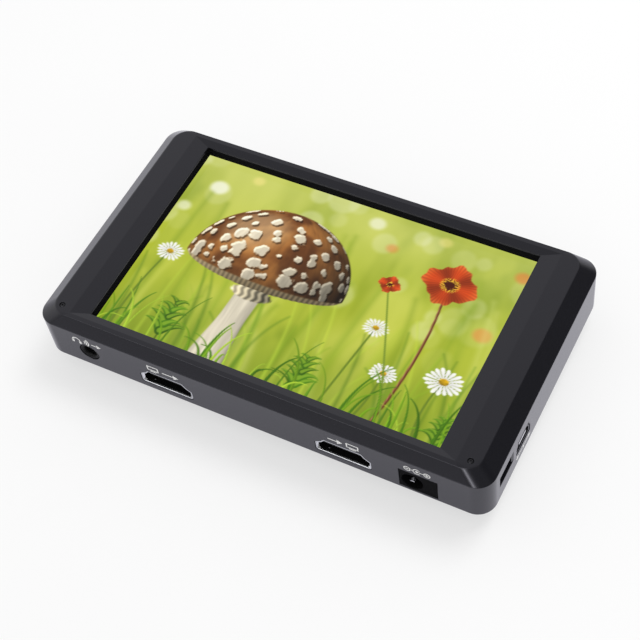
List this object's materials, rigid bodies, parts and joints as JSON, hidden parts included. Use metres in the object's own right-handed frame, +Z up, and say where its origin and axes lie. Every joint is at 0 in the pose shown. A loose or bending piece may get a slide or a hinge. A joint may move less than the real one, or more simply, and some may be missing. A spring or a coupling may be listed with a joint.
{
  "type": "camera field monitor",
  "caption": "Flat rectangular camera field monitor with bevelled bezel, recessed screen, port edge, top keys, rear battery plate with sprung release and tripod thread.",
  "frame": {"origin": "on the resting plane under the middle of the body", "axes": "+Z up out of the screen, +X along the long side to the right of a viewer at the port edge, +Y from the port edge to the key edge"},
  "size_m": [0.1256, 0.0714, 0.0223],
  "materials": {
    "bezel_paint": "fine satin black paint over a cast frame",
    "housing_paint": "fine satin charcoal paint",
    "black_screw": "black oxide",
    "steel_screw": "zinc plated",
    "foam_black": "matt foam",
    "screen_glass": "lit picture under clear glass",
    "light_guide": "translucent white",
    "tinned_steel": "stamped, tin plated",
    "flex_film": "amber polyimide film",
    "board_green": "green solder mask",
    "chip_black": "moulded epoxy",
    "sink_aluminium": "extruded",
    "port_black": "moulded",
    "gold_contact": "gold flash",
    "connector_ivory": "moulded",
    "key_black": "fine matt",
    "plunger_ivory": "moulded",
    "clear_light": "clear acrylic",
    "insert_brass": "machined",
    "plate_black": "fine spark texture",
    "lead_vinyl": "red and black vinyl",
    "spring_steel": "drawn wire"
  },
  "bodies": {
    "monitor": {"front_bezel": "bezel_paint", "bezel_screws": "black_screw", "lcd_gasket": "foam_black", "lcd_panel": "screen_glass", "backlight": "light_guide", "lcd_tray": "tinned_steel", "tray_screws": "steel_screw", "lcd_flex": "flex_film", "flex_connector": "connector_ivory", "main_board": "board_green", "board_screws": "steel_screw", "processor": "chip_black", "heat_sink": "sink_aluminium", "board_parts": "chip_black", "video_out_shell": "tinned_steel", "video_out_tongue": "port_black", "video_in_shell": "tinned_steel", "video_in_tongue": "port_black", "video_contacts": "gold_contact", "headphone_jack": "port_black", "power_socket": "port_black", "power_contacts": "steel_screw", "service_shell": "tinned_steel", "service_tongue": "port_black", "key_switches": "chip_black", "status_led": "connector_ivory", "light_pipe": "clear_light", "rear_housing": "housing_paint", "housing_screws": "black_screw", "tripod_insert": "insert_brass", "battery_plate": "plate_black", "plate_screws": "steel_screw", "battery_contacts": "gold_contact", "battery_leads": "lead_vinyl", "lead_socket": "connector_ivory", "release_spring": "spring_steel", "latch_cover": "plate_black", "latch_screws": "steel_screw"},
    "key_power_body": {"key_power": "key_black", "plunger_power": "plunger_ivory"},
    "key_input_body": {"key_input": "key_black", "plunger_input": "plunger_ivory"},
    "key_left_body": {"key_left": "key_black", "plunger_left": "plunger_ivory"},
    "key_menu_body": {"key_menu": "key_black", "plunger_menu": "plunger_ivory"},
    "key_right_body": {"key_right": "key_black", "plunger_right": "plunger_ivory"},
    "key_assist_body": {"key_assist": "key_black", "plunger_assist": "plunger_ivory"},
    "release": {"release_lever": "key_black"}
  },
  "joints": [
    {"name": "press_power", "type": "slide", "parent": "monitor", "child": "key_power_body", "axis": [0, -1, 0], "range_m": [0, 0.0004], "stiffness_N_per_m": 2500, "springref_m": -0.0001},
    {"name": "press_input", "type": "slide", "parent": "monitor", "child": "key_input_body", "axis": [0, -1, 0], "range_m": [0, 0.0004], "stiffness_N_per_m": 2500, "springref_m": -0.0001},
    {"name": "press_left", "type": "slide", "parent": "monitor", "child": "key_left_body", "axis": [0, -1, 0], "range_m": [0, 0.0004], "stiffness_N_per_m": 2500, "springref_m": -0.0001},
    {"name": "press_menu", "type": "slide", "parent": "monitor", "child": "key_menu_body", "axis": [0, -1, 0], "range_m": [0, 0.0004], "stiffness_N_per_m": 2500, "springref_m": -0.0001},
    {"name": "press_right", "type": "slide", "parent": "monitor", "child": "key_right_body", "axis": [0, -1, 0], "range_m": [0, 0.0004], "stiffness_N_per_m": 2500, "springref_m": -0.0001},
    {"name": "press_assist", "type": "slide", "parent": "monitor", "child": "key_assist_body", "axis": [0, -1, 0], "range_m": [0, 0.0004], "stiffness_N_per_m": 2500, "springref_m": -0.0001},
    {"name": "release_press", "type": "slide", "parent": "monitor", "child": "release", "axis": [0, 0, 1], "range_m": [0, 0.0022], "stiffness_N_per_m": 500, "springref_m": -0.002, "deforming": ["release_spring"]}
  ]
}
